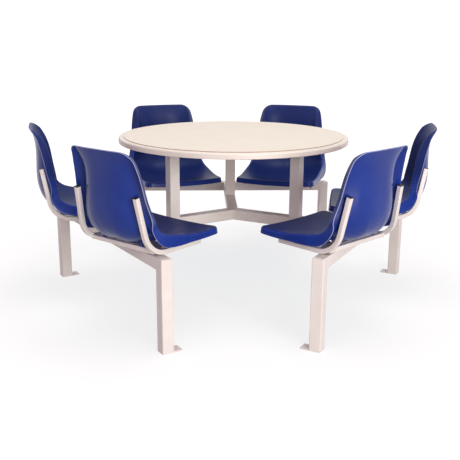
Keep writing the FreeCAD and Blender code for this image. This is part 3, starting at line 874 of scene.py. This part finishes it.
def screwPoints(name, spots):
    mesh = bpy.data.meshes.new(name)
    mesh.from_pydata([spot for spot, length in spots], [], [])
    reach = mesh.attributes.new("reach", "FLOAT", "POINT")
    reach.data.foreach_set("value", [length for spot, length in spots])
    return mesh


def growScrews(name, spots, seed):
    return growMesh(name, screwPoints(name, spots), screwTree, screwKeys,
                    {"Head": headObject, "Shank Radius": screwForm["shank"], "Seed": seed}, False)


def smoothScrews(obj):
    obj.data.shade_smooth()
    obj.data.set_sharp_from_angle(angle=math.radians(screwForm["sharpAngle"]))


# washer and socket screw that keep the spindle in its bush
keeper = dict(washer=0.01755, thickness=0.003, low=0.3628, head=0.0065, headHeight=0.005, socket=0.0032,
              socketDepth=0.003, socketEase=0.0002, headEase=0.0005, washerEase=0.0004, turns=48)


def addKeeper(form, spot):
    start = len(form.verts)
    socket, head, washer = keeper["socket"], keeper["head"], keeper["washer"]
    socketEase, headEase, washerEase = keeper["socketEase"], keeper["headEase"], keeper["washerEase"]
    deep, under = keeper["socketDepth"], keeper["headHeight"]
    top = under + keeper["thickness"]
    outline = [(0.0, deep), (socket, deep), (socket, socketEase), (socket + socketEase, 0.0),
               (head - headEase, 0.0), (head, headEase), (head, under), (washer - washerEase, under),
               (washer, under + washerEase), (washer, top), (0.0, top)]
    turns = keeper["turns"]
    flat = math.radians(60)
    loops = []
    for place, (radius, height) in enumerate(outline):
        loop = []
        for turn in range(turns):
            angle = 2 * math.pi * turn / turns
            reach = radius
            if place in (1, 2):
                # six flats of the socket
                reach = radius * math.cos(flat / 2) / math.cos(angle % flat - flat / 2)
            loop.append(form.verts.new((reach * math.cos(angle), reach * math.sin(angle), height)))
        loops.append(loop)
    for low, high in zip(loops, loops[1:]):
        for turn in range(turns):
            after = (turn + 1) % turns
            form.faces.new((low[turn], low[after], high[after], high[turn]))
    form.verts.ensure_lookup_table()
    fresh = form.verts[start:]
    bmesh.ops.transform(form, matrix=spot, verts=fresh)
    bmesh.ops.remove_doubles(form, verts=fresh, dist=screwForm["merge"])


# screws that reach up through the bar and the ears into the shell's pillars
fixing = dict(barAcross=0.112, barReach=0.031, earReach=0.016)


def makeFixings(number, place):
    spots = []
    barLow = bar["middle"] - bar["height"] / 2
    for side in sides:
        spot = Vector((side * fixing["barAcross"], -bar["behind"], barLow))
        spots.append((place @ spot, fixing["barReach"]))
        for forward in rails["earForward"]:
            spots.append((place @ Vector((side * earMiddle, forward, earLow)), fixing["earReach"]))
    obj = growScrews(f"seat_{number}_screws", spots, screwForm["seed"] + number)
    form = bmesh.new()
    form.from_mesh(obj.data)
    low = keeper["low"] - keeper["headHeight"]
    addKeeper(form, place @ Matrix.Translation((0, seatPlan["barBehindPivot"], low)))
    bmesh.ops.recalc_face_normals(form, faces=form.faces)
    form.to_mesh(obj.data)
    form.free()
    smoothScrews(obj)
    settle(obj, f"seat_{number}", "zinc", f"seat_{number}_fixings")


# weld beads: a rippled half-sunk bead along each welded corner
bead = dict(radius=0.0028, ripple=0.16, pitch=0.0030, step=0.0008, seatRadius=0.0018, sides=10,
            inputs=[("Radius", "Float"), ("Ripple", "Float"), ("Pitch", "Float"), ("Step", "Float")])


def makeBeadTree():
    tree, keys, given = newTree("weldBead", bead["inputs"])
    out = given.outputs
    path = addNode(tree, "GeometryNodeMeshToCurve", {"Mesh": out["Geometry"]})
    path = addNode(tree, "GeometryNodeResampleCurve", {"Curve": path, "Length": out["Step"]}, mode="LENGTH")
    run = tree.nodes.new("GeometryNodeSplineParameter").outputs["Length"]
    phase = addNode(tree, "ShaderNodeMath", {0: run, 1: out["Pitch"]}, operation="DIVIDE")
    phase = addNode(tree, "ShaderNodeMath", {0: phase, 1: 2 * math.pi}, operation="MULTIPLY")
    wave = addNode(tree, "ShaderNodeMath", {0: phase}, operation="SINE")
    wave = addNode(tree, "ShaderNodeMath", {0: wave, 1: out["Ripple"], 2: 1.0}, operation="MULTIPLY_ADD")
    circle = {"Resolution": bead["sides"], "Radius": out["Radius"]}
    section = addNode(tree, "GeometryNodeCurvePrimitiveCircle", circle)
    sweep = {"Curve": path, "Profile Curve": section, "Scale": wave, "Fill Caps": True}
    rope = addNode(tree, "GeometryNodeCurveToMesh", sweep)
    rope = addNode(tree, "GeometryNodeSetShadeSmooth", {"Geometry": rope, "Shade Smooth": True})
    closeTree(tree, rope, powderCoat)
    return tree, keys


beadTree, beadKeys = makeBeadTree()


def growBeads(name, lines, radius):
    values = {"Radius": radius, "Ripple": bead["ripple"], "Pitch": bead["pitch"], "Step": bead["step"]}
    return growMesh(name, wireMesh(name, lines), beadTree, beadKeys, values, False)


# corners of the welded frame, on an arm along X
frameForm = dict(half=0.025, inset=0.021, armEnd=0.650, upright=0.335, top=0.392, low=0.342, plate=0.725,
                 post=0.560, foot=0.005, beamFar=0.700, weldLow=0.003, weldShort=0.004, hubAngle=60)


def frameWeldLines():
    half, inset, short = frameForm["half"], frameForm["inset"], frameForm["weldShort"]
    top, low, end = frameForm["top"], frameForm["low"], frameForm["armEnd"]
    upright, plate, floorLevel = frameForm["upright"], frameForm["plate"], frameForm["foot"]
    lines = []
    for side in sides:
        flank = side * half
        lines.append([(end, flank, low + frameForm["weldLow"]), (end, flank, top - short)])
        for level in (top, plate):
            lines.append([(upright + flank, -inset, level), (upright + flank, inset, level)])
        lines.append([(upright - inset, flank, plate), (upright + inset, flank, plate)])
        mitre = side * (frameForm["post"] - half)
        lines.append([(end + short, mitre, low), (frameForm["beamFar"] - short, mitre, low)])
        post = side * frameForm["post"]
        lines.append([(end, post - inset, floorLevel), (end, post + inset, floorLevel)])
    lines.append([(end, -inset, low), (end, inset, low)])
    hubAngle = math.radians(frameForm["hubAngle"])
    hubX, hubY = half / math.tan(hubAngle), half
    lines.append([(hubX, hubY, low + short), (hubX, hubY, top - short)])
    return lines


def makeFrameWelds():
    lines = []
    for angle in seatPlan["armAngles"]:
        lines += [[turnedBy(angle) @ Vector(point) for point in line] for line in frameWeldLines()]
    obj = growBeads("frame_welds", lines, bead["radius"])
    settle(obj, "frame", "powder_coat")


# welds of the bar, the ears and the cross plate along the rails
seatWeld = dict(barLow=0.411, barHigh=0.419, earHalf=0.013, plateOut=0.0003, plateLevel=0.402,
                plateRun=(0.017, 0.093))


def makeSeatWelds(number, place):
    lines = []
    for side in sides:
        inner = side * railInner
        for end in sides:
            edge = end * bar["width"] / 2 - bar["behind"]
            lines.append([(inner, edge, seatWeld["barLow"]), (inner, edge, seatWeld["barHigh"])])
        for forward in rails["earForward"]:
            lines.append([(inner, forward + end * seatWeld["earHalf"], earLow) for end in (-1, 1)])
        along = side * (railInner + seatWeld["plateOut"])
        lines.append([(along, forward, seatWeld["plateLevel"]) for forward in seatWeld["plateRun"]])
    lines = [[place @ Vector(point) for point in line] for line in lines]
    settle(growBeads(f"seat_{number}_welds", lines, bead["seatRadius"]), f"seat_{number}", "powder_coat")


# four screws through each top plate into the table
tableScrew = dict(spread=0.045, reach=0.023)


def makeTableScrews():
    spots = []
    for angle in seatPlan["armAngles"]:
        for a in sides:
            for b in sides:
                out, across = frameForm["upright"] + a * tableScrew["spread"], b * tableScrew["spread"]
                spot = Vector((out, across, frameForm["plate"]))
                spots.append((turnedBy(angle) @ spot, tableScrew["reach"]))
    obj = growScrews("table_plate_screws", spots, screwForm["seed"])
    smoothScrews(obj)
    settle(obj, "frame", "zinc", "table_screws")


for number, place in enumerate(places, start=1):
    makeShell(number, place)
    makeRails(number, place)
    makeBar(number, place)
    makePlugs(number, place)
    makeFixings(number, place)
    makeSeatWelds(number, place)
print("seats dressed")
makeFrameWelds()
makeTableScrews()
bpy.data.objects.remove(headObject)
print("welds and screws")


white = (1.0, 1.0, 1.0, 1.0)

# pale floor that keeps the shadow and runs out into white
floorForm = dict(radius=40.0, edges=96, tone=paint(152, 143, 141), roughness=0.9, near=1.1, far=3.2,
                 glow=(0.72, 0.755, 0.76, 1.0))


def addSeen(tree):
    # one where the camera, a reflection or a clear piece shows the surroundings
    ray = tree.nodes.new("ShaderNodeLightPath")
    seen = addMath(tree, "MAXIMUM", ray.outputs["Is Camera Ray"], ray.outputs["Is Glossy Ray"])
    return addMath(tree, "MAXIMUM", seen, ray.outputs["Is Transmission Ray"])


def makeFloor():
    form = bmesh.new()
    bmesh.ops.create_circle(form, cap_ends=True, segments=floorForm["edges"], radius=floorForm["radius"])
    obj = linkMesh("floor", meshFrom("floor", form))
    mat, tree, shader, where = startMaterial("paleFloor")
    shader.inputs["Base Color"].default_value = floorForm["tone"]
    shader.inputs["Roughness"].default_value = floorForm["roughness"]
    shader.inputs["Specular IOR Level"].default_value = 0.0
    reach = tree.nodes.new("ShaderNodeVectorMath")
    reach.operation = "LENGTH"
    tree.links.new(where, reach.inputs[0])
    away = addRange(tree, reach.outputs["Value"], 0.0, 1.0, floorForm["near"], floorForm["far"])
    backdrop = addMix(tree, away, floorForm["glow"], white)
    tree.links.new(backdrop, shader.inputs["Emission Color"])
    tree.links.new(addSeen(tree), shader.inputs["Emission Strength"])
    obj.data.materials.append(mat)


# white surroundings for the eye and for reflections, softer light for everything else
sky = dict(light=(1.0, 0.80, 0.90, 1.0), strength=0.54, seenStrength=1.0)


def makeSky():
    world = bpy.data.worlds.new("studio")
    bpy.context.scene.world = world
    world.use_nodes = True
    tree = world.node_tree
    soft = tree.nodes["Background"]
    soft.inputs["Color"].default_value = sky["light"]
    soft.inputs["Strength"].default_value = sky["strength"]
    seen = tree.nodes.new("ShaderNodeBackground")
    seen.inputs["Color"].default_value = white
    seen.inputs["Strength"].default_value = sky["seenStrength"]
    mix = tree.nodes.new("ShaderNodeMixShader")
    tree.links.new(addSeen(tree), mix.inputs["Fac"])
    tree.links.new(soft.outputs["Background"], mix.inputs[1])
    tree.links.new(seen.outputs["Background"], mix.inputs[2])
    tree.links.new(mix.outputs["Shader"], tree.nodes["World Output"].inputs["Surface"])


# one large lamp in front, a little to the right, and one overhead
lamps = [
    dict(name="frontLight", place=(1.75, -5.4, 1.35), aim=(0, 0, 0.45), size=3.0, power=208.0,
         colour=(1.0, 0.985, 0.965)),
    dict(name="topLight", place=(0.3, -0.6, 5.0), aim=(0, 0, 0.6), size=3.0, power=86.0,
         colour=(0.91, 1.0, 0.95)),
]


def makeLamps():
    for lamp in lamps:
        light = bpy.data.lights.new(lamp["name"], "AREA")
        light.energy = lamp["power"]
        light.size = lamp["size"]
        light.color = lamp["colour"]
        obj = bpy.data.objects.new(lamp["name"], light)
        obj.location = lamp["place"]
        look = Vector(lamp["aim"]) - Vector(lamp["place"])
        obj.rotation_euler = look.to_track_quat("-Z", "Y").to_euler()
        bpy.context.scene.collection.objects.link(obj)


# camera at the photograph's place
eye = dict(place=(-0.168705, -3.58368, 1.25581), yaw=0.0432, pitch=-0.2654, roll=0.0062, focal=743.475,
           frame=460, sensor=36.0, far=200.0)


def makeCamera():
    data = bpy.data.cameras.new("camera")
    data.sensor_width = eye["sensor"]
    data.lens = eye["sensor"] * eye["focal"] / eye["frame"]
    data.clip_end = eye["far"]
    yaw, pitch, roll = eye["yaw"], eye["pitch"], eye["roll"]
    look = Vector((math.sin(yaw) * math.cos(pitch), math.cos(yaw) * math.cos(pitch), math.sin(pitch)))
    right = Vector((math.cos(yaw), -math.sin(yaw), 0))
    over = right.cross(look)
    across = right * math.cos(roll) + over * math.sin(roll)
    over = over * math.cos(roll) - right * math.sin(roll)
    obj = bpy.data.objects.new("camera", data)
    obj.matrix_world = Matrix((across, over, -look)).transposed().to_4x4()
    obj.location = eye["place"]
    bpy.context.scene.collection.objects.link(obj)
    bpy.context.scene.camera = obj


makeFloor()
makeSky()
makeLamps()
makeCamera()
bpy.context.scene.view_settings.view_transform = "Standard"
print("stage, lamps and camera")
